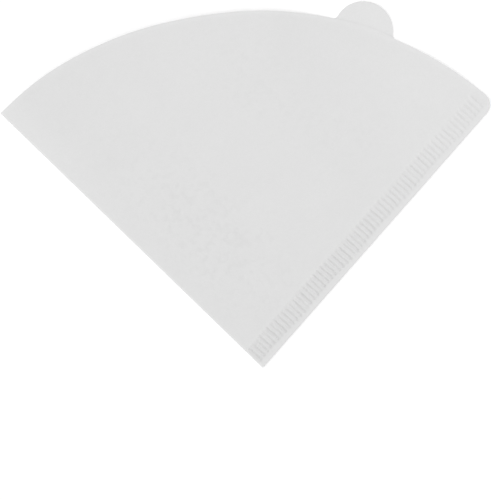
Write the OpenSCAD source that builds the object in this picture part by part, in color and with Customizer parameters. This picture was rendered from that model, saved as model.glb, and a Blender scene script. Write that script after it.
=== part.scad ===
// Paper coffee filter for a cone dripper, folded flat as it comes out of the pack.
// One blank of paper is folded once along its left edge. The right edges of the two
// plies are pressed together by a seam of short ribs. The mouth is cut along an arc,
// and a round pull tab stands out of it on the lower ply only.
// The filter lies on its lower ply, with the tip towards -Y and the mouth towards +Y.
// Lengths are in millimetres and angles in degrees.

/* [Folded sheet] */
// Length of the folded edge, from the tip to the mouth
fold_len = 125; // [95:1:155]
// Length of the seam edge, from the tip to where it would meet the mouth at a sharp corner
seam_len = 120.6; // [95:0.1:155]
// Angle at the tip, between the folded edge and the seam edge
spread = 87.2; // [70:0.1:95]
// How far the cut mouth curves out beyond a straight line between its two corners
mouth_rise = 33.4; // [26:0.1:40]
// Thickness of one ply of paper
ply = 0.2; // [0.15:0.01:0.28]
// Width that the fold presses flat along the folded edge
fold_press = 0.6; // [0.4:0.1:2]
// Height that the upper ply stands off the lower one, at the middle of the mouth
mouth_gap = 1.6; // [0.6:0.1:3]

/* [Corner and tab] */
// Radius of the corner between the seam edge and the mouth
corner_r = 4.5; // [2:0.1:8]
// Radius of the pull tab
tab_r = 10.2; // [7:0.1:14]
// How far the middle of the tab's circle lies inside the cut mouth
tab_inset = 1.4; // [0:0.1:4]
// Distance along the mouth, from the seam edge to the middle of the tab
tab_from_seam = 52.1; // [30:0.1:80]
// Radius where the tab runs into the mouth
tab_root_r = 1.6; // [0.5:0.1:3]

/* [Crimped seam] */
// Width of the plain margin outside the ribs
rib_margin = 1.9; // [1:0.1:4]
// Length of a rib, across the seam
rib_len = 6.5; // [4:0.1:10]
// Width of a rib at its foot
rib_w = 1.25; // [1:0.05:1.5]
// Height that a rib stands above the pressed plies
rib_h = 0.35; // [0.2:0.01:0.45]
// Length over which each end of a rib sinks back into the paper
rib_fade = 0.5; // [0.2:0.1:1.5]
// Distance from one rib to the next, along the seam
rib_pitch = 1.853; // [1.6:0.001:2.6]
// Distance along the seam edge, from the tip to the first rib
rib_start = 1.5; // [1.2:0.1:4]
// Clear length of seam edge left beyond the last rib
rib_end = 3.5; // [2:0.1:8]
// Flat paper between the ribs and the pocket
pocket_margin = 0.4; // [0.1:0.1:3]

/* [Hidden] */
$fn = 128;

// Largest distance between an arc and the straight steps that draw it
sag = 0.02;
// Off-white of filter paper
paper_colour = [0.93, 0.93, 0.93];

// Directions in the plane of the sheet, with the tip at the origin
half = spread / 2;
fold_dir = [-sin(half), cos(half)];
seam_dir = [sin(half), cos(half)];
seam_in = [-cos(half), sin(half)];

// Circle of the cut mouth, through the ends of both edges
fold_end = fold_len * fold_dir;
seam_end = seam_len * seam_dir;
chord = norm(seam_end - fold_end);
along = (seam_end - fold_end) / chord;
mouth_r = (chord * chord / 4 + mouth_rise * mouth_rise) / (2 * mouth_rise);
mouth_c = (fold_end + seam_end) / 2 + (mouth_r - mouth_rise) * [along.y, -along.x];

// Circle of the seam corner, inside both the seam edge and the mouth
corner_off = corner_r * seam_in - mouth_c;
corner_b = corner_off * seam_dir;
corner_s = sqrt(pow(mouth_r - corner_r, 2) - corner_off * corner_off + corner_b * corner_b) - corner_b;
corner_c = corner_s * seam_dir + corner_r * seam_in;

// Circle of the tab, and the two small circles that lead it into the mouth
mouth_a0 = heading(corner_c - mouth_c);
mouth_a1 = heading(fold_end - mouth_c);
tab_a = heading(seam_end - mouth_c) + tab_from_seam / mouth_r * 180 / PI;
tab_d = mouth_r - tab_inset;
tab_c = mouth_c + tab_d * ray(tab_a);
root_d = mouth_r + tab_root_r;
root_reach = tab_r + tab_root_r;
root_a = corner_angle(tab_d, root_d, root_reach);
tab_half = 180 - corner_angle(tab_d, root_reach, root_d);

// The pocket: its apex, its length to the mouth and the cone that its upper ply bows to
seam_w = rib_margin + rib_len + pocket_margin;
apex = [(fold_press - seam_w) / (2 * cos(half)), (fold_press + seam_w) / (2 * sin(half))];
pocket_len = mouth_c.y - apex.y + sqrt(mouth_r * mouth_r - pow(apex.x - mouth_c.x, 2));
bow_a = atan(mouth_gap / pocket_len);
bow_tilt = atan(sin(bow_a) / (cos(bow_a) - cos(half)));
bow_half = acos(cos(half) * sin(bow_tilt));
bow_h = 2 * fold_len * cos(bow_half);

// Ribs along the seam
rib_r = (rib_w * rib_w / 4 + rib_h * rib_h) / (2 * rib_h);
rib_count = floor((seam_len - rib_start - rib_end) / rib_pitch) + 1;

// Middle of the box round the outline, which is put at the origin
middle = [(fold_end.x + corner_c.x + corner_r) / 2, (tab_c.y + tab_r) / 2];
// Larger than the whole sheet, for what is cut away
beyond = 2 * (fold_len + seam_len);
// Higher than the bowed ply and the ribs
top = 2 * (ply + mouth_gap + rib_h);

// Unit vector at an angle, and the angle of a vector
function ray(a) = [cos(a), sin(a)];
function heading(v) = atan2(v.y, v.x);

// Angle between the sides a and b of a triangle whose third side is c
function corner_angle(a, b, c) = acos((a * a + b * b - c * c) / (2 * a * b));

// Points along an arc from angle a0 up to, but without, angle a1
function arc(c, r, a0, a1) =
    let (n = ceil(abs(a1 - a0) / (2 * acos(1 - sag / r))))
    [for (i = [0:n - 1]) c + r * ray(a0 + (a1 - a0) * i / n)];

// Outline that both plies share, counterclockwise from the tip
sheet_outline = concat(
    [[0, 0]],
    arc(corner_c, corner_r, -half, mouth_a0),
    arc(mouth_c, mouth_r, mouth_a0, tab_a - root_a),
    arc(mouth_c, mouth_r, tab_a - root_a, tab_a + root_a),
    arc(mouth_c, mouth_r, tab_a + root_a, mouth_a1),
    [fold_end]
);

// Outline of the tab, closed by a straight line inside the sheet
tab_outline = concat(
    arc(mouth_c + root_d * ray(tab_a - root_a), tab_root_r, tab_a - root_a - 180, tab_a - tab_half - 180),
    arc(tab_c, tab_r, tab_a - tab_half, tab_a + tab_half),
    arc(mouth_c + root_d * ray(tab_a + root_a), tab_root_r, tab_a + tab_half - 180, tab_a + root_a - 180),
    [mouth_c + mouth_r * ray(tab_a + root_a)]
);

// Everything above the height z
module above(z) {
    translate([-beyond / 2, -beyond / 2, z]) cube(beyond);
}

// Shallow cone that lies above the height z only between the fold and the seam
module bow(z) {
    translate([apex.x, apex.y, z])
        rotate([bow_tilt, 0, 0])
            translate([0, 0, -bow_h])
                cylinder(h = bow_h, r1 = bow_h * tan(bow_half), r2 = 0);
}

// Block of the sheet's outline, with the paper turned round the folded edge
module folded_block() {
    intersection() {
        linear_extrude(top) polygon(sheet_outline);
        rotate([90, 0, half])
            translate([0, 0, -beyond / 2])
                linear_extrude(beyond)
                    polygon(concat(
                        arc([ply, ply], ply, 90, 270),
                        [[ply, 0], [beyond, 0], [beyond, 2 * top], [ply, 2 * top]]
                    ));
    }
}

// Two plies on each other: pressed flat at the fold and the seam, open at the mouth
module plies() {
    difference() {
        folded_block();
        difference() {
            above(2 * ply);
            bow(2 * ply);
        }
        intersection() {
            above(ply);
            bow(ply);
        }
    }
}

module tab() {
    linear_extrude(ply) polygon(tab_outline);
}

// Row of round-backed ribs across the seam, standing on the height z
module crimp(z) {
    rib_slope = rib_h / rib_fade;
    rib_mid = rib_margin + rib_len / 2;
    low = z - ply;
    high = z + 2 * rib_h;
    function reach(height) = rib_len / 2 - (height - z) / rib_slope;
    rotate([0, 0, 180 - half])
        intersection() {
            for (i = [0:rib_count - 1])
                translate([rib_mid, -rib_start - i * rib_pitch, z + rib_h - rib_r])
                    rotate([0, 90, 0]) cylinder(h = 2 * rib_len, r = rib_r, center = true);
            translate([rib_mid, 0, 0])
                rotate([90, 0, 0])
                    linear_extrude(seam_len)
                        polygon([
                            [-reach(low), low], [reach(low), low],
                            [reach(high), high], [-reach(high), high]
                        ]);
        }
}

module paper_filter() {
    color(paper_colour)
        translate([-middle.x, -middle.y, 0])
            difference() {
                union() {
                    plies();
                    tab();
                    crimp(2 * ply);
                }
                crimp(0);
            }
}

paper_filter();
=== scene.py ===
"""Paper coffee filter, folded flat, lying on a pale table and seen from above.

The sheet is built as one closed mesh from the same sizes as the CAD part, in millimetres,
and scaled to metres at the end. Its plan has the tip at the origin and the mouth towards +Y.
A pair of distances or levels is the range over which something comes in or fades.
"""
import math

import bmesh
import bpy
import numpy as np
from mathutils import Matrix, Vector, noise
from mathutils.geometry import delaunay_2d_cdt


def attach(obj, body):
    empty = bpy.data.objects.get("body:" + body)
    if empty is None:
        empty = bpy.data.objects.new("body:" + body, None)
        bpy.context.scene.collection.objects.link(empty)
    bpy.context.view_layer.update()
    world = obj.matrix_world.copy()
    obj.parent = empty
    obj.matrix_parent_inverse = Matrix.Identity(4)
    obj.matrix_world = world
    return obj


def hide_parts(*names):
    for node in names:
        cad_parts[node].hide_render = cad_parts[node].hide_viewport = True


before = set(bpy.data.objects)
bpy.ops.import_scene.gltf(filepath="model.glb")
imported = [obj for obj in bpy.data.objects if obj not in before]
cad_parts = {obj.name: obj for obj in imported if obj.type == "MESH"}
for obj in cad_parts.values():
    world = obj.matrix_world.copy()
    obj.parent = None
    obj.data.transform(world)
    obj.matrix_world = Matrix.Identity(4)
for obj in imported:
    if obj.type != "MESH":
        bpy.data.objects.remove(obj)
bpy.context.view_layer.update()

MM = 0.001

# Sizes of the folded sheet, in millimetres and degrees, as in the CAD part
FOLD_LEN = 125.0
SEAM_LEN = 120.6
SPREAD = 87.2
MOUTH_RISE = 33.4
PLY = 0.2
FOLD_PRESS = 0.6
MOUTH_GAP = 1.6
CORNER_R = 4.5
TAB_R = 10.2
TAB_INSET = 1.4
TAB_FROM_SEAM = 52.1
TAB_ROOT_R = 1.6
RIB_MARGIN = 1.9
RIB_LEN = 6.5
RIB_W = 1.25
RIB_H = 0.35
RIB_FADE = 0.5
RIB_PITCH = 1.853
RIB_START = 1.5
RIB_END = 3.5
POCKET_MARGIN = 0.4

# Full height of the ribs near the tip and near the corner, as shares of RIB_H, and the
# distances from the tip between which it changes
RIB_AT_TIP = 1.34
RIB_AT_CORNER = 0.72
RIB_CHANGE = (40, 115)
# How far each rib is shifted along the seam, and wanders on its way across it
RIB_SHIFT = 0.05
RIB_WANDER = 0.07
RIB_WANDER_SIZE = 3.0
# How much wider the foot of a rib is to each side, and how its ends are drawn out and shifted
RIB_SOFT_FOOT = 0.12
RIB_END_OUT = 0.1
RIB_END_IN = 0.3
RIB_END_SHIFT = 0.3
# Mean share of a rib's full height, and how much that changes from rib to rib and within one
RIB_MEAN = 0.84
RIB_UNLIKE = 0.16
RIB_UNEVEN = 0.2
RIB_UNEVEN_SIZE = 2.4
# Factors that turn a rib's number into a phase, so that its neighbours differ from it
SHIFT_PHASE = 39.425
END_PHASE = 12.9898
HEIGHT_PHASE = 78.233
# The ribs lie between these distances, inside the seam edge and past the start of the pocket
RIBS_FROM = 0.5
RIBS_PAST = 1.0

# Depth of the fine groove between the two cut edges of the pressed plies
EDGE_GROOVE = 0.06
# Where the sheet's mouth lies a little off its arc: the direction from the middle of its circle
# and the reach, in degrees, and how far it lies outside
MOUTH_DRIFT = ((75, 8, 0.43), (98, 9, -0.5), (123, 7, 0.41))
# Slow waves in the upper ply, as a share of how far it stands off, and their size
WAVE = 0.22
WAVE_SIZE = 38.0
# Share by which the upper ply sinks back beside the tab, how far that reaches and how steeply
# it ends
TAB_DIP = 0.985
TAB_DIP_R = 26.0
TAB_DIP_POWER = 4
# How much further out the upper ply reaches over the tab, and the share by which that grows
# towards the seam
TAB_COVER = 0.5
TAB_COVER_SKEW = 0.8
# Height that the tab curls up at the distance TAB_R outside the mouth
TAB_CURL = 0.35

# Height of the crepe in the paper's face, its share on the underside, and the width beside the
# fold and the distances outside the mouth over which it comes in
CREPE = 0.02
UNDER_CREPE = 0.5
CREPE_BY_FOLD = 1.0
CREPE_ON_TAB = (1, 2)
# Layers of the crepe: their size, their share and their step to another seed
CREPE_LAYERS = ((2.6, 0.6, 0), (1.3, 0.4, 9))
# Patches of sparse dents in the upper face: the middle of each along and inside the fold, its
# half length and width, and how strong it is; then how steeply each ends, and the strength of
# the dents elsewhere
DENT_PATCHES = (
    (46.0, 20.5, 38.0, 15.5, 0.88),
    (71.8, 67.6, 21.0, 13.0, 0.5),
    (33.2, 75.5, 16.0, 11.0, 0.42),
)
PATCH_POWER = 1.5
DENTS_ELSEWHERE = 0.12
# Size and depth of the dents, and the levels of the noise that make them
DENT_SIZE = 1.9
DENT_DEPTH = 0.1
DENT_LEVELS = (0.05, 0.5)
# Widths beside the seam and beside the fold over which the dents come in
DENTS_BY_SEAM = 1.0
DENTS_BY_FOLD = (1, 3)

# How fast the layers of the noise weaken, the ratio of their sizes, and the seeds of each noise
NOISE_DROP = 1.0
NOISE_RATIO = 2.0
WAVE_SEED = 4.7
TOP_SEED = 1.5
TAB_SEED = 6.5
UNDER_SEED = 11.5
DENT_SEED = 21.3
RIB_WANDER_SEED = 33.1
RIB_UNEVEN_SEED = 41.7

# Spacing of the mesh's points on the upper face, on the underside and inside the pocket, and
# along the edges, the roots of the tab and the mouth's end at the fold
FACE_STEP = 0.65
UNDER_STEP = 1.2
INSIDE_STEP = 2.5
EDGE_STEP = 0.7
ROOT_STEP = 0.3
FOLD_END_STEP = 0.2
# Steps from one rib to the next and round the fold
RIB_STEPS = 10
FOLD_STEPS = 8
# Rows of points along the seam: inside its edge, and inside the near and the far ends of the ribs
MARGIN_ROWS = (0.5, 1.1)
NEAR_END_ROWS = (-0.25, 0, 0.2, 0.4, 0.65, 0.95)
FAR_END_ROWS = (0.95, 0.65, 0.4, 0.2, 0, -0.2)
# Rows between them: how far inside the edge they start, how far short of the far ends they stop,
# and their spacing
MIDDLE_ROWS_FROM = 3.6
MIDDLE_ROWS_SHORT = 1.4
MIDDLE_ROWS_STEP = 0.8
# Least distance of the mesh's inner points from its outlines: over the seam, over the pocket as
# a share of the spacing, inside the pocket, and on the two sides of the tab
EDGE_CLEAR = 0.12
GRID_CLEAR = 0.3
INSIDE_CLEAR = 0.8
TAB_CLEAR = 0.3
UNDER_TAB_CLEAR = 0.4
# How far from the pocket's apex, towards the mouth, a point parts the two plies
APEX_STEP = 0.6
# By the tab: how far inside the mouth the finer points start, how far inside it and out round
# the tab they replace the coarser ones, and how far inside it those of the underside start
TAB_FINE_IN = 2.0
TAB_COARSE_IN = 3.5
TAB_COARSE_OUT = 1.0
UNDER_TAB_IN = 0.35
# Distance at which the triangulation joins points, and its mode that keeps what is inside
JOIN = 1e-7
KEEP_INSIDE = 1
# Least angle in degrees of an edge that stays sharp
SHARP = 50

# Linear colour of the paper
PAPER = (0.755, 0.755, 0.755)
# Painted light, as shares of the paper's colour: a painted highlight at the fold's crease and in
# a rim along the mouth, painted light towards the mouth's end at the fold and at the seam, a
# painted light rim in the seam's plain margin, and painted light shining through the single ply
# of the tab
FOLD_HIGHLIGHT = 0.06
RIM_HIGHLIGHT = 0.018
FOLD_END_LIGHT = 0.03
SEAM_END_LIGHT = 0.015
MARGIN_LIGHT_RIM = 0.006
TAB_LIGHT_THROUGH = 0.022
# Painted shade: how much greyer it is in the crimp by the tip and in the hollows of the dents,
# and the share of the crimp's painted shade that is lost by the corner
CRIMP_SHADE = 0.037
CRIMP_SHADE_FADE = 0.55
DENT_SHADE = 0.027
# Distances over which this painted light and shade change: inside the fold, inside the mouth,
# outside the mouth on the tab's upper side and underside, about the ends of the ribs and about
# the margin's edge. On the tab's upper side the painted light starts a little out from the upper
# ply's edge, which leaves a painted soft shadow beside that edge
CREASE_RANGE = (0.25, 0.8)
RIM_RANGE = (0.5, 2.2)
TAB_RANGE = (-0.15, 1.1)
UNDER_TAB_RANGE = (-0.3, 0.3)
CRIMP_OUT = 0.4
CRIMP_IN = 0.6
MARGIN_BLUR = 0.5
CRIMP_SHADE_FADE_FROM = 30
# The band of painted light by the fold: where it starts from the tip, its inner start and its
# width, and how much wider it gets by the mouth; and its like round the seam's corner
FOLD_BAND_FROM = 20
FOLD_BAND_IN = 1
FOLD_BAND_WIDTH = 4
FOLD_BAND_GROWTH = 9
CORNER_RANGE = (8, 45)

# Sizes of the paper's clouds, flocs and fibres, and how far each changes its tone either way
CLOUD_SIZE = 16
CLOUD_TONE = 0.006
FLOC_SIZE = 1.6
FLOC_TONE = 0.004
FIBRE_SIZE = 0.13
FIBRE_TONE = 0.02
# Layers of fibres: their direction in degrees, and how many times longer than thick they are
FIBRE_LAYERS = ((12, 9), (71, 7), (133, 8))
# How much the fibres wander off their direction
FIBRE_WANDER = 0.8
# Levels of the noise that are used, for clouds and flocs and for fibres
NOISE_LEVELS = (0.3, 0.7)
FIBRE_LEVELS = (0.42, 0.72)
# Roughness between the flocs and on them, and the strength of the gloss
PAPER_ROUGH = (0.96, 0.86)
PAPER_GLOSS = 0.25
# Strength and depth of the fibres' relief, and the share of the flocs in it
RELIEF = 0.7
RELIEF_DEPTH = 0.09
FLOC_RELIEF = 0.8

# Light from all round
SKY_LEVEL = 0.563
# Soft box above the mouth: its direction, distance and size in metres, and its power in watts
LAMP_FROM = (0.17, 0.18, 1.0)
LAMP_DISTANCE = 0.85
LAMP_SIZE = 0.45
LAMP_WATTS = 2.42
# Low light from the left: its direction, spread in degrees and strength
SIDE_FROM = (-1.5, -0.2, 1.0)
SIDE_SPREAD = 30.0
SIDE_LEVEL = 0.78
# The floor: its size in metres, how far it lies under the paper in millimetres and its colour
FLOOR_SIZE = 8.0
FLOOR_DROP = 0.02
FLOOR_COLOUR = (0.92, 0.92, 0.92, 1)
# The floor's own light for the camera, and the distances in metres over which it grows to 1
FLOOR_GLOW = 0.14
GLOW_RANGE = (0.1, 1.2)
WHITE = (1, 1, 1, 1)

# Framing of the photograph: its size, the tip's place and the fold's length in pixels, and its
# turn in degrees; and the camera's height in metres and its sensor in millimetres
IMAGE_W = 491
IMAGE_H = 500
TIP_PX = (262.9, 367.8)
FOLD_PX = 365.2
TURN = 2.27
CAMERA_HEIGHT = 1.4
SENSOR = 36.0


def ray(angle):
    return np.array([math.cos(angle), math.sin(angle)])


def heading(v):
    return math.atan2(v[1], v[0])


def corner_angle(a, b, c):
    """Angle between the sides a and b of a triangle whose third side is c."""
    return math.acos((a * a + b * b - c * c) / (2 * a * b))


HALF = math.radians(SPREAD) / 2
FOLD_DIR = np.array([-math.sin(HALF), math.cos(HALF)])
SEAM_DIR = np.array([math.sin(HALF), math.cos(HALF)])
FOLD_IN = np.array([math.cos(HALF), math.sin(HALF)])
SEAM_IN = np.array([-math.cos(HALF), math.sin(HALF)])

# Circle of the cut mouth
fold_end = FOLD_LEN * FOLD_DIR
seam_end = SEAM_LEN * SEAM_DIR
chord = np.linalg.norm(seam_end - fold_end)
along = (seam_end - fold_end) / chord
MOUTH_R = (chord**2 / 4 + MOUTH_RISE**2) / (2 * MOUTH_RISE)
MOUTH_C = (fold_end + seam_end) / 2 + (MOUTH_R - MOUTH_RISE) * np.array([along[1], -along[0]])

# Circle of the seam corner
corner_off = CORNER_R * SEAM_IN - MOUTH_C
corner_b = corner_off @ SEAM_DIR
CORNER_S = math.sqrt((MOUTH_R - CORNER_R) ** 2 - corner_off @ corner_off + corner_b**2) - corner_b
CORNER_C = CORNER_S * SEAM_DIR + CORNER_R * SEAM_IN

# Circles of the tab and of its roots
tab_a = heading(seam_end - MOUTH_C) + TAB_FROM_SEAM / MOUTH_R
tab_d = MOUTH_R - TAB_INSET
TAB_C = MOUTH_C + tab_d * ray(tab_a)
root_d = MOUTH_R + TAB_ROOT_R
root_reach = TAB_R + TAB_ROOT_R
root_a = corner_angle(tab_d, root_d, root_reach)
tab_half = math.pi - corner_angle(tab_d, root_reach, root_d)

# Distances inside the seam edge of the ribs' far ends and of the pocket
RIB_FAR = RIB_MARGIN + RIB_LEN
SEAM_W = RIB_FAR + POCKET_MARGIN


def at(fold_off, seam_off):
    """Point at these distances inside the folded edge and the seam edge."""
    return np.array([
        (fold_off - seam_off) / (2 * math.cos(HALF)),
        (fold_off + seam_off) / (2 * math.sin(HALF)),
    ])


def to_mouth(start, direction):
    """Point where a line from start meets the circle of the mouth."""
    off = start - MOUTH_C
    b = off @ direction
    return start + (math.sqrt(b * b - off @ off + MOUTH_R**2) - b) * direction


# Pocket between the plies, and the cone that the upper ply bows to
APEX = at(FOLD_PRESS, SEAM_W)
pocket_len = to_mouth(APEX, np.array([0.0, 1.0]))[1] - APEX[1]
bow_a = math.atan(MOUTH_GAP / pocket_len)
BOW_TILT = math.atan(math.sin(bow_a) / (math.cos(bow_a) - math.cos(HALF)))
BOW_COS = math.cos(HALF) * math.sin(BOW_TILT)
RIB_COUNT = math.floor((SEAM_LEN - RIB_START - RIB_END) / RIB_PITCH) + 1

# Middle of the box round the outline, which the CAD part has at its origin
MIDDLE = np.array([
    (fold_end[0] + CORNER_C[0] + CORNER_R) / 2,
    (TAB_C[1] + TAB_R) / 2,
])


def line(a, b, step=EDGE_STEP):
    """Points from a up to, but without, b."""
    n = max(1, math.ceil(np.linalg.norm(b - a) / step))
    return [a + (b - a) * i / n for i in range(n)]


def arc(centre, radius, a0, a1, step=EDGE_STEP):
    """Points along an arc from angle a0 up to, but without, a1."""
    n = max(2, math.ceil(abs(a1 - a0) * radius / step))
    return [centre + radius * ray(a0 + (a1 - a0) * i / n) for i in range(n)]


def smooth(x, low, high):
    """Smooth step from 0 at low to 1 at high."""
    t = np.clip((x - low) / (high - low), 0, 1)
    return t * t * (3 - 2 * t)


def fractal(points, size, seed, octaves):
    """Smooth noise of about -1 to 1 at each plan point, with features of this size."""
    return np.array([
        noise.fractal(Vector((x / size, y / size, seed)), NOISE_DROP, NOISE_RATIO, octaves)
        for x, y in points
    ])


def bow(p):
    """Height of the shallow cone above its apex, at each plan point of the pocket."""
    d = p - APEX
    s, c = math.sin(BOW_TILT), math.cos(BOW_TILT)
    r2 = (d**2).sum(axis=1)
    a = c * c - BOW_COS**2
    root = np.sqrt(np.maximum(0, (c * s * d[:, 1])**2 - a * ((s * d[:, 1])**2 - BOW_COS**2 * r2)))
    height = (c * s * d[:, 1] - root) / a
    inside = (p @ FOLD_IN > FOLD_PRESS) & (p @ SEAM_IN > SEAM_W)
    return np.where(inside, np.maximum(height, 0), 0)


def lift(p):
    """Height that the upper ply stands off the lower one: slow waves, and a dip at the tab."""
    near_tab = np.exp(-(np.linalg.norm(p - TAB_C, axis=1) / TAB_DIP_R) ** TAB_DIP_POWER)
    waves = 1 + WAVE * fractal(p, WAVE_SIZE, WAVE_SEED, octaves=2)
    return bow(p) * waves * (1 - TAB_DIP * near_tab)


def ribs(p):
    """Height of the crimped ribs above the pressed plies, each a little unlike the next."""
    s, w = p @ SEAM_DIR, p @ SEAM_IN
    height = np.zeros(len(p))
    crimped = np.flatnonzero((w > RIBS_FROM) & (w < SEAM_W + RIBS_PAST))
    s, w, q = s[crimped], w[crimped], p[crimped]
    k = np.clip(np.round((s - RIB_START) / RIB_PITCH), 0, RIB_COUNT - 1)
    wander = fractal(q, RIB_WANDER_SIZE, RIB_WANDER_SEED, octaves=1)
    crooked = RIB_SHIFT * np.sin(k * SHIFT_PHASE) + RIB_WANDER * wander
    off = (s - RIB_START - k * RIB_PITCH - crooked) / (RIB_W / 2 + RIB_SOFT_FOOT)
    across = np.where(np.abs(off) < 1, np.cos(off * math.pi / 2) ** 2, 0)
    shift = RIB_END_SHIFT * np.sin(k * END_PHASE)
    ends = smooth(w, RIB_MARGIN - RIB_END_OUT + shift, RIB_MARGIN + RIB_FADE + RIB_END_IN + shift)
    ends *= 1 - smooth(w, RIB_FAR - RIB_FADE - RIB_END_IN + shift, RIB_FAR + RIB_END_OUT + shift)
    within = fractal(q, RIB_UNEVEN_SIZE, RIB_UNEVEN_SEED, octaves=1)
    uneven = RIB_MEAN + RIB_UNLIKE * np.sin(k * HEIGHT_PHASE) + RIB_UNEVEN * within
    pressed = RIB_AT_TIP + (RIB_AT_CORNER - RIB_AT_TIP) * smooth(s, *RIB_CHANGE)
    height[crimped] = RIB_H * pressed * uneven * across * ends
    return height


def crepe(p, seed):
    """Relief of the paper's face: soft puckers, and finer grain on them."""
    relief = sum(
        share * fractal(p, size, seed + step, octaves=2) for size, share, step in CREPE_LAYERS
    )
    return CREPE * relief * smooth(p @ FOLD_IN, PLY, PLY + CREPE_BY_FOLD)


def dent_patch(p):
    """How strongly the face is dented at each plan point: most in the patch by the fold."""
    share = np.full(len(p), DENTS_ELSEWHERE)
    for along_fold, inside_fold, length, width, strength in DENT_PATCHES:
        off = (p @ FOLD_DIR - along_fold) / length, (p @ FOLD_IN - inside_fold) / width
        share += strength * np.exp(-(off[0] ** 2 + off[1] ** 2) ** PATCH_POWER)
    return share


def dents(p):
    """Sparse soft dents in the upper face, 0 to 1."""
    spots = smooth(fractal(p, DENT_SIZE, DENT_SEED, octaves=2), *DENT_LEVELS)
    by_seam = smooth(p @ SEAM_IN, SEAM_W, SEAM_W + DENTS_BY_SEAM)
    return spots * dent_patch(p) * by_seam * smooth(p @ FOLD_IN, *DENTS_BY_FOLD)


def top_height(p):
    return 2 * PLY + lift(p) + ribs(p) + crepe(p, TOP_SEED) - DENT_DEPTH * dents(p)


def upper_inside_height(p):
    return PLY + lift(p)


def past_mouth(p):
    """Distance of each plan point outside the circle of the mouth."""
    return np.linalg.norm(p - MOUTH_C, axis=1) - MOUTH_R


def tab_curl(p):
    """Height that the tab lifts off the table towards its end."""
    return TAB_CURL * np.clip(past_mouth(p) / TAB_R, 0, None) ** 2


def lower_inside_height(p):
    return PLY + tab_curl(p) + crepe(p, TAB_SEED) * smooth(past_mouth(p), *CREPE_ON_TAB)


def bottom_height(p):
    return ribs(p) + tab_curl(p) + UNDER_CREPE * CREPE + UNDER_CREPE * crepe(p, UNDER_SEED)


def over_tab():
    """The upper ply's edge across the tab, which reaches a little further out than its arc."""
    points = np.array(arc(MOUTH_C, MOUTH_R, tab_a - root_a, tab_a + root_a))
    turn = np.arctan2(points[:, 1] - MOUTH_C[1], points[:, 0] - MOUTH_C[0]) - tab_a
    share = turn / root_a
    out = TAB_COVER * (1 - share ** 2) * (1 - TAB_COVER_SKEW * share)
    return points + out[:, None] * (points - MOUTH_C) / MOUTH_R


# Ends of the fold's turn at the seam edge and at the mouth, and of the pocket at the mouth
SEAM_START = at(PLY, 0)
MOUTH_END = to_mouth(at(PLY, 0), FOLD_DIR)
POCKET_AT_SEAM = to_mouth(at(0, SEAM_W), SEAM_DIR)
POCKET_AT_FOLD = to_mouth(at(FOLD_PRESS, 0), FOLD_DIR)
mouth_start_a = heading(CORNER_C - MOUTH_C)
at_seam_a, at_fold_a, mouth_end_a = (
    heading(q - MOUTH_C) for q in (POCKET_AT_SEAM, POCKET_AT_FOLD, MOUTH_END)
)

# Named stretches of the outline, each without its last point
CHAINS = {
    "seam": line(SEAM_START, CORNER_C - CORNER_R * SEAM_IN),
    "corner": arc(CORNER_C, CORNER_R, -HALF, mouth_start_a),
    "mouth0": arc(MOUTH_C, MOUTH_R, mouth_start_a, at_seam_a),
    "mouth1": arc(MOUTH_C, MOUTH_R, at_seam_a, tab_a - root_a),
    "over_tab": over_tab(),
    "tab": (
        arc(MOUTH_C + root_d * ray(tab_a - root_a), TAB_ROOT_R,
            tab_a - root_a - math.pi, tab_a - tab_half - math.pi, ROOT_STEP)
        + arc(TAB_C, TAB_R, tab_a - tab_half, tab_a + tab_half)
        + arc(MOUTH_C + root_d * ray(tab_a + root_a), TAB_ROOT_R,
              tab_a + tab_half - math.pi, tab_a + root_a - math.pi, ROOT_STEP)
    ),
    "mouth2": arc(MOUTH_C, MOUTH_R, tab_a + root_a, at_fold_a),
    "mouth3": arc(MOUTH_C, MOUTH_R, at_fold_a, mouth_end_a, FOLD_END_STEP),
    "fold": line(MOUTH_END, SEAM_START),
    "pocket_seam": line(APEX, POCKET_AT_SEAM),
    "pocket_fold": line(POCKET_AT_FOLD, APEX),
}


class SheetMesh:
    """Collects the points and faces of the one closed sheet."""

    def __init__(self):
        self.points, self.tones, self.faces = [], [], []

    def add(self, plan, heights, tone=1.0):
        first = len(self.points)
        self.points += [(x, y, z) for (x, y), z in zip(plan, heights)]
        self.tones += list(np.broadcast_to(tone, len(self.points) - first))
        return list(range(first, len(self.points)))

    def fill(self, loop, inner, height, tone):
        """Triangles over a loop of point numbers, through the inner plan points."""
        ids = loop + self.add(inner, height(inner), tone(inner))
        plan = [Vector(self.points[i][:2]) for i in ids]
        n = len(loop)
        rim = [(i, (i + 1) % n) for i in range(n)]
        _, _, tris, origins, _, _ = delaunay_2d_cdt(plan, rim, [], KEEP_INSIDE, JOIN)
        if any(not o for o in origins):
            raise RuntimeError("the outline crosses itself")
        self.faces += [tuple(ids[origins[v][0]] for v in t) for t in tris]

    def wall(self, upper, lower):
        """Faces between two rows of equally many points."""
        for i in range(len(upper) - 1):
            self.faces.append((lower[i], lower[i + 1], upper[i + 1], upper[i]))


def hex_grid(step):
    """Points on a triangular grid over the whole outline."""
    reach = FOLD_LEN + 2 * TAB_R
    rows = np.arange(0, reach, step * math.sqrt(3) / 2)
    return np.array([
        (x + (k % 2) * step / 2, y)
        for k, y in enumerate(rows) for x in np.arange(-reach, reach, step)
    ])


def in_sheet(p, margin):
    """Which points lie inside the outline that both plies share."""
    s, w = p @ SEAM_DIR, p @ SEAM_IN
    inside = (w > margin) & (p @ FOLD_IN > PLY + margin)
    inside &= np.linalg.norm(p - MOUTH_C, axis=1) < MOUTH_R - margin
    in_corner = (s > CORNER_S) & (w < CORNER_R)
    return inside & (~in_corner | (np.linalg.norm(p - CORNER_C, axis=1) < CORNER_R - margin))


def in_pocket(p, margin):
    inside = (p @ SEAM_IN > SEAM_W + margin) & (p @ FOLD_IN > FOLD_PRESS + margin)
    return in_sheet(p, margin) & inside


def in_tab(p, margin):
    return np.linalg.norm(p - TAB_C, axis=1) < TAB_R - margin


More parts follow.
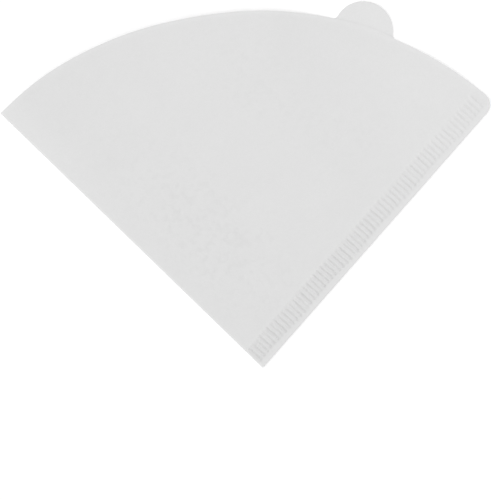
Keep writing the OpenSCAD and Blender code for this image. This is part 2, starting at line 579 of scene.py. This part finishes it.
def strip_points():
    """Points over the crimped seam, dense enough to draw each rib."""
    near_end = RIB_MARGIN + np.array(NEAR_END_ROWS)
    far_end = RIB_FAR - np.array(FAR_END_ROWS)
    middle = np.arange(MIDDLE_ROWS_FROM, RIB_FAR - MIDDLE_ROWS_SHORT, MIDDLE_ROWS_STEP)
    rows = np.concatenate([MARGIN_ROWS, near_end, middle, far_end])
    columns = np.arange(RIB_START - RIB_PITCH, SEAM_LEN, RIB_PITCH / RIB_STEPS)
    p = np.array([s * SEAM_DIR + w * SEAM_IN for w in rows for s in columns])
    return p[in_sheet(p, EDGE_CLEAR)]


def crease_points():
    """Points along the two lines where the upper ply leaves the lower one."""
    p = np.array(line(APEX, POCKET_AT_SEAM, FACE_STEP) + line(APEX, POCKET_AT_FOLD, FACE_STEP))
    return p[in_sheet(p, EDGE_CLEAR)]


def face_points(step):
    """Points over the seam strip, the creases and the rest of the sheet."""
    grid = hex_grid(step)
    grid = grid[in_pocket(grid, GRID_CLEAR * step)]
    return np.concatenate([strip_points(), crease_points(), grid])


def inside_points(with_tab):
    """Points inside the pocket, and closer ones where the lower ply shows at the tab."""
    grid = hex_grid(INSIDE_STEP)
    grid = grid[in_pocket(grid, INSIDE_CLEAR)]
    # A point just above the apex keeps the two plies from sharing a face there
    above_apex = APEX + np.array([0, APEX_STEP])
    clear = np.linalg.norm(grid - above_apex, axis=1) > INSIDE_CLEAR
    coarse = np.concatenate([grid[clear], above_apex[None]])
    if not with_tab:
        return coarse
    fine = hex_grid(FACE_STEP)
    shown = np.linalg.norm(fine - MOUTH_C, axis=1) > MOUTH_R - TAB_FINE_IN
    fine = fine[in_tab(fine, TAB_CLEAR) & shown]
    near_tab = np.linalg.norm(coarse - TAB_C, axis=1) < TAB_R + TAB_COARSE_OUT
    near_mouth = np.linalg.norm(coarse - MOUTH_C, axis=1) > MOUTH_R - TAB_COARSE_IN
    return np.concatenate([coarse[~(near_tab & near_mouth)], fine])


def under_points():
    """Points over the underside, with its tab."""
    grid = hex_grid(UNDER_STEP)
    out = np.linalg.norm(grid - MOUTH_C, axis=1) > MOUTH_R - UNDER_TAB_IN
    return np.concatenate([face_points(UNDER_STEP), grid[in_tab(grid, UNDER_TAB_CLEAR) & out]])


def ends_light(p):
    """Painted light: how much lighter the paper is painted towards the two ends of the mouth."""
    near_end = smooth(p @ FOLD_DIR, FOLD_BAND_FROM, FOLD_LEN)
    band = FOLD_BAND_WIDTH + FOLD_BAND_GROWTH * near_end
    by_fold = near_end * (1 - smooth(p @ FOLD_IN, FOLD_BAND_IN, band))
    by_seam = 1 - smooth(np.linalg.norm(p - CORNER_C, axis=1), *CORNER_RANGE)
    return FOLD_END_LIGHT * by_fold + SEAM_END_LIGHT * by_seam


def press_shade_and_light(p):
    """Both outer faces: painted shade in the crimp, a painted light rim in the margin, a painted
    highlight at the crease.
    """
    w = p @ SEAM_IN
    crimp = smooth(w, RIB_MARGIN - CRIMP_OUT, RIB_MARGIN + CRIMP_IN)
    crimp = crimp * (1 - smooth(w, RIB_FAR - CRIMP_IN, RIB_FAR + CRIMP_OUT))
    margin = 1 - smooth(w, RIB_MARGIN - MARGIN_BLUR, RIB_MARGIN + MARGIN_BLUR)
    crease = 1 - smooth(p @ FOLD_IN, *CREASE_RANGE)
    # Painted shade in the crimp, strongest by the tip
    pressed = CRIMP_SHADE * (1 - CRIMP_SHADE_FADE * smooth(p @ SEAM_DIR, CRIMP_SHADE_FADE_FROM, SEAM_LEN))
    return 1 - pressed * crimp + MARGIN_LIGHT_RIM * margin + FOLD_HIGHLIGHT * crease


def top_tone(p):
    """Tone of the upper face: a painted highlight in a rim along the mouth too, and painted shade
    in the dents.
    """
    rim = 1 - smooth(-past_mouth(p), *RIM_RANGE)
    return press_shade_and_light(p) + ends_light(p) + RIM_HIGHLIGHT * rim - DENT_SHADE * dents(p)


def inside_tab_light(p):
    """Tone of the pocket's faces: painted light through the single ply of the tab, with painted
    soft shadow by the upper ply's edge.
    """
    return 1 + TAB_LIGHT_THROUGH * smooth(past_mouth(p), *TAB_RANGE)


def bottom_tone(p):
    # Painted shade and light as on the upper face, and painted light through the single ply of
    # the tab
    return press_shade_and_light(p) + TAB_LIGHT_THROUGH * smooth(past_mouth(p), *UNDER_TAB_RANGE)


def drifted(p):
    """Plan points moved out or in towards the mouth, where the sheet lies off its arc."""
    off = p - MOUTH_C
    distance = np.linalg.norm(off, axis=1)
    angle = np.degrees(np.arctan2(off[:, 1], off[:, 0]))
    out = sum(
        size * np.exp(-((angle - middle) / reach) ** 2) for middle, reach, size in MOUTH_DRIFT
    )
    return p + off * (out * smooth(distance, MOUTH_R / 2, MOUTH_R) / distance)[:, None]


def towards(centre):
    """Gives the directions from plan points to a centre."""
    return lambda p: (centre - p) / np.linalg.norm(centre - p, axis=1)[:, None]


def build_sheet():
    """The folded sheet as one closed mesh, in millimetres with the tip at the origin."""
    mesh = SheetMesh()
    plan = {name: np.array(points) for name, points in CHAINS.items()}
    edge = ("seam", "corner", "mouth0")
    outer = edge + ("mouth1", "over_tab", "mouth2", "mouth3", "fold")
    under = edge + ("mouth1", "tab", "mouth2", "mouth3", "fold")
    upper_rim = ("mouth1", "over_tab", "mouth2")
    lower_rim = ("mouth1", "tab", "mouth2")

    def add_chains(names, height, tone):
        return {n: mesh.add(plan[n], height(plan[n]), tone(plan[n])) for n in names}

    def joined(chains, names):
        return sum((chains[n] for n in names), [])

    top = add_chains(outer, top_height, top_tone)
    bottom = add_chains(under, bottom_height, bottom_tone)
    creases = {
        n: mesh.add(plan[n], np.full(len(plan[n]), PLY)) for n in ("pocket_seam", "pocket_fold")
    }
    # The creases end at the mouth in one point each, which both plies share
    at_seam = mesh.add([POCKET_AT_SEAM], [PLY])[0]
    at_fold = creases["pocket_fold"][0]
    upper = {n: mesh.add(plan[n], upper_inside_height(plan[n])) for n in upper_rim}
    lower = add_chains(lower_rim, lower_inside_height, inside_tab_light)
    upper["mouth1"][0] = lower["mouth1"][0] = at_seam

    mesh.fill(joined(top, outer), face_points(FACE_STEP), top_height, top_tone)
    mesh.fill(joined(bottom, under), under_points(), bottom_height, bottom_tone)
    for part, rim, height, with_tab in (
        (upper, upper_rim, upper_inside_height, False),
        (lower, lower_rim, lower_inside_height, True),
    ):
        loop = creases["pocket_seam"] + joined(part, rim) + creases["pocket_fold"]
        mesh.fill(loop, inside_points(with_tab), height, inside_tab_light)

    # Cut edges of the pressed plies, with a fine groove between the two
    inward_of = {
        "seam": lambda p: np.broadcast_to(SEAM_IN, p.shape),
        "corner": towards(CORNER_C),
        "mouth0": towards(MOUTH_C),
        "mouth3": towards(MOUTH_C),
    }

    def grooved(names, following, last, first=None):
        """Walls down both plies along these stretches, up to the last point of the groove."""
        points = np.concatenate([plan[n] for n in names])
        inward = np.concatenate([inward_of[n](plan[n]) for n in names])
        middle = mesh.add(points + EDGE_GROOVE * inward, np.full(len(points), PLY))
        if first is not None:
            middle[0] = first
        middle.append(last)
        mesh.wall(joined(top, names) + [top[following][0]], middle)
        mesh.wall(middle, joined(bottom, names) + [bottom[following][0]])
        return middle

    seam_groove = grooved(edge, "mouth1", at_seam)
    groove_end = MOUTH_END + EDGE_GROOVE * towards(MOUTH_C)(MOUTH_END[None])[0]
    fold_groove_end = mesh.add([groove_end], [PLY])[0]
    grooved(("mouth3",), "fold", fold_groove_end, at_fold)

    # Cut edges of the two plies at the open mouth
    mesh.wall(joined(top, upper_rim) + [top["mouth3"][0]], joined(upper, upper_rim) + [at_fold])
    mesh.wall(
        joined(lower, lower_rim) + [at_fold], joined(bottom, lower_rim) + [bottom["mouth3"][0]]
    )

    # The paper turned round the folded edge
    count = len(plan["fold"])
    rows = [top["fold"] + [top["seam"][0]]]
    for k in range(1, FOLD_STEPS):
        turn = math.pi * (0.5 + k / FOLD_STEPS)
        off = PLY + PLY * math.cos(turn)
        start, end = to_mouth(at(off, 0), FOLD_DIR), at(off, 0)
        points = [start + (end - start) * i / count for i in range(count + 1)]
        heights = np.full(count + 1, PLY + PLY * math.sin(turn))
        # The rounded fold carries a painted highlight
        rows.append(mesh.add(points, heights, 1 + FOLD_HIGHLIGHT))
    rows.append(bottom["fold"] + [bottom["seam"][0]])
    for a, b in zip(rows, rows[1:]):
        mesh.wall(a, b)
    mesh.faces.append(tuple([row[0] for row in rows] + [fold_groove_end]))
    mesh.faces.append(tuple([row[-1] for row in rows] + [seam_groove[0]]))
    return mesh


class Nodes:
    """Short calls for building one material's node tree on its own object coordinates."""

    def __init__(self, material):
        material.use_nodes = True
        self.nodes, self.links = material.node_tree.nodes, material.node_tree.links
        self.shader = self.nodes["Principled BSDF"]
        self.place = self.nodes.new("ShaderNodeTexCoord").outputs["Object"]

    def put(self, socket, value):
        if isinstance(value, bpy.types.NodeSocket):
            self.links.new(value, socket)
        else:
            socket.default_value = value

    def math(self, kind, *values):
        node = self.nodes.new("ShaderNodeMath")
        node.operation = kind
        for socket, value in zip(node.inputs, values):
            self.put(socket, value)
        return node.outputs[0]

    def noise(self, size, detail, rough=0.55, turn=0.0, stretch=1.0, wander=0.0):
        """Noise of 0 to 1 with features of this size in metres, drawn out along one direction."""
        mapping = self.nodes.new("ShaderNodeMapping")
        mapping.vector_type = "TEXTURE"
        mapping.inputs["Rotation"].default_value[2] = turn
        mapping.inputs["Scale"].default_value = (stretch, 1, 1)
        self.links.new(self.place, mapping.inputs["Vector"])
        tex = self.nodes.new("ShaderNodeTexNoise")
        tex.inputs["Scale"].default_value = 1 / size
        tex.inputs["Detail"].default_value = detail
        tex.inputs["Roughness"].default_value = rough
        tex.inputs["Distortion"].default_value = wander
        self.links.new(mapping.outputs["Vector"], tex.inputs["Vector"])
        return tex.outputs["Fac"]

    def ramp(self, value, low, high, to_low, to_high):
        """The value with the range from low to high spread over another range."""
        node = self.nodes.new("ShaderNodeMapRange")
        node.inputs["From Min"].default_value = low
        node.inputs["From Max"].default_value = high
        node.inputs["To Min"].default_value = to_low
        node.inputs["To Max"].default_value = to_high
        self.links.new(value, node.inputs["Value"])
        return node.outputs["Result"]


def paper_material():
    """Uncoated white filter paper: matte, softly clouded, with felted fibres."""
    mat = bpy.data.materials.new("filter_paper")
    n = Nodes(mat)
    clouds = n.noise(CLOUD_SIZE * MM, detail=3)
    flocs = n.noise(FLOC_SIZE * MM, detail=4, rough=0.6)
    fibres = [
        n.noise(FIBRE_SIZE * MM, detail=1, rough=0.5, turn=math.radians(turn), stretch=stretch,
                wander=FIBRE_WANDER)
        for turn, stretch in FIBRE_LAYERS
    ]
    felt = n.math("MAXIMUM", n.math("MAXIMUM", fibres[0], fibres[1]), fibres[2])

    # Tone: what the mesh carries, with its painted shade and painted light, times thick and thin
    # places, times single fibres
    tone = n.nodes.new("ShaderNodeAttribute")
    tone.attribute_name = "tone"
    total = tone.outputs["Fac"]
    for field, levels, share in (
        (clouds, NOISE_LEVELS, CLOUD_TONE),
        (flocs, NOISE_LEVELS, FLOC_TONE),
        (felt, FIBRE_LEVELS, FIBRE_TONE),
    ):
        total = n.math("MULTIPLY", total, n.ramp(field, *levels, 1 - share, 1 + share))
    scale = n.nodes.new("ShaderNodeVectorMath")
    scale.operation = "SCALE"
    scale.inputs[0].default_value = PAPER
    n.put(scale.inputs["Scale"], total)
    n.put(n.shader.inputs["Base Color"], scale.outputs["Vector"])

    # Gloss: nearly none, a trace on the pressed flocs
    n.put(n.shader.inputs["Roughness"], n.ramp(flocs, *NOISE_LEVELS, *PAPER_ROUGH))
    n.shader.inputs["Specular IOR Level"].default_value = PAPER_GLOSS

    # Relief of the felted fibres over the flocs
    bump = n.nodes.new("ShaderNodeBump")
    bump.inputs["Strength"].default_value = RELIEF
    bump.inputs["Distance"].default_value = RELIEF_DEPTH * MM
    n.put(bump.inputs["Height"], n.math("ADD", felt, n.math("MULTIPLY", flocs, FLOC_RELIEF)))
    n.put(n.shader.inputs["Normal"], bump.outputs["Normal"])
    return mat


def make_filter():
    """The folded filter in Blender, in metres, in the place of its CAD node."""
    sheet = build_sheet()
    data = bpy.data.meshes.new("folded_filter")
    points = np.array(sheet.points)
    points[:, :2] = drifted(points[:, :2]) - MIDDLE
    data.from_pydata((points * MM).tolist(), [], sheet.faces)
    # The tone carries the sheet's painted shade and painted light
    tone = data.attributes.new("tone", "FLOAT", "POINT")
    tone.data.foreach_set("value", np.array(sheet.tones, np.float32))
    bm = bmesh.new()
    bm.from_mesh(data)
    bmesh.ops.recalc_face_normals(bm, faces=bm.faces)
    for face in bm.faces:
        face.smooth = True
    bmesh.ops.delete(bm, geom=[v for v in bm.verts if not v.link_faces], context="VERTS")
    for e in bm.edges:
        if len(e.link_faces) != 2:
            raise RuntimeError("the sheet isn't closed")
        e.smooth = e.calc_face_angle() < math.radians(SHARP)
    bm.to_mesh(data)
    bm.free()
    obj = bpy.data.objects.new("folded_filter", data)
    bpy.context.scene.collection.objects.link(obj)
    data.materials.append(paper_material())
    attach(obj, "root")
    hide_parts("paper_filter")


def make_floor():
    """Plain white table that keeps the soft shadow round the paper and fades out far away."""
    bpy.ops.mesh.primitive_plane_add(size=FLOOR_SIZE, location=(0, 0, -FLOOR_DROP * MM))
    floor = bpy.context.object
    floor.name = "floor"
    mat = bpy.data.materials.new("floor")
    n = Nodes(mat)
    n.shader.inputs["Base Color"].default_value = FLOOR_COLOUR
    n.shader.inputs["Roughness"].default_value = 1.0
    n.shader.inputs["Specular IOR Level"].default_value = 0.0
    n.shader.inputs["Emission Color"].default_value = WHITE
    path = n.nodes.new("ShaderNodeLightPath").outputs
    seen = n.math("MAXIMUM", path["Is Camera Ray"], path["Is Glossy Ray"])
    seen = n.math("MAXIMUM", seen, path["Is Transmission Ray"])
    away = n.nodes.new("ShaderNodeVectorMath")
    away.operation = "LENGTH"
    n.put(away.inputs[0], n.place)
    glow = n.ramp(away.outputs["Value"], *GLOW_RANGE, FLOOR_GLOW, 1.0)
    n.put(n.shader.inputs["Emission Strength"], n.math("MULTIPLY", seen, glow))
    floor.data.materials.append(mat)


def make_world():
    """Even white light from all round, and plain white where the camera sees it."""
    world = bpy.data.worlds.new("studio")
    bpy.context.scene.world = world
    world.use_nodes = True
    nodes, links = world.node_tree.nodes, world.node_tree.links
    path = nodes.new("ShaderNodeLightPath")
    level = nodes.new("ShaderNodeMapRange")
    level.inputs["To Min"].default_value = SKY_LEVEL
    level.inputs["To Max"].default_value = 1.0
    links.new(path.outputs["Is Camera Ray"], level.inputs["Value"])
    links.new(level.outputs["Result"], nodes["Background"].inputs["Strength"])
    nodes["Background"].inputs["Color"].default_value = WHITE


def make_lamp():
    """Square soft box that faces the filter from above the mouth."""
    lamp = bpy.data.lights.new("lamp", "AREA")
    lamp.shape = "SQUARE"
    lamp.size = LAMP_SIZE
    lamp.energy = LAMP_WATTS
    obj = bpy.data.objects.new("lamp", lamp)
    bpy.context.scene.collection.objects.link(obj)
    away = Vector(LAMP_FROM).normalized()
    obj.location = away * LAMP_DISTANCE
    obj.rotation_euler = away.to_track_quat("Z", "Y").to_euler()


def make_side_light():
    """Soft light of one strength everywhere, which falls in low and draws the relief."""
    sun = bpy.data.lights.new("side", "SUN")
    sun.energy = SIDE_LEVEL
    sun.angle = math.radians(SIDE_SPREAD)
    obj = bpy.data.objects.new("side", sun)
    bpy.context.scene.collection.objects.link(obj)
    obj.rotation_euler = Vector(SIDE_FROM).to_track_quat("Z", "Y").to_euler()


def make_camera():
    """Camera looking straight down, framed and turned as the photograph is."""
    pixel = FOLD_LEN * MM / FOLD_PX
    turn = math.radians(TURN)
    right = Vector((math.cos(turn), -math.sin(turn), 0))
    up = Vector((math.sin(turn), math.cos(turn), 0))
    tip = Vector((-MIDDLE[0] * MM, -MIDDLE[1] * MM, 0))
    across = (TIP_PX[0] - IMAGE_W / 2) * pixel
    down = (TIP_PX[1] - IMAGE_H / 2) * pixel
    centre = tip - across * right + down * up
    data = bpy.data.cameras.new("camera")
    data.sensor_width = SENSOR
    data.lens = SENSOR * CAMERA_HEIGHT / (max(IMAGE_W, IMAGE_H) * pixel)
    cam = bpy.data.objects.new("camera", data)
    bpy.context.scene.collection.objects.link(cam)
    cam.matrix_world = Matrix((
        (right.x, up.x, 0, centre.x),
        (right.y, up.y, 0, centre.y),
        (0, 0, 1, CAMERA_HEIGHT),
        (0, 0, 0, 1),
    ))
    bpy.context.scene.camera = cam


make_filter()
make_floor()
make_world()
make_lamp()
make_side_light()
make_camera()
bpy.context.scene.view_settings.view_transform = "Standard"
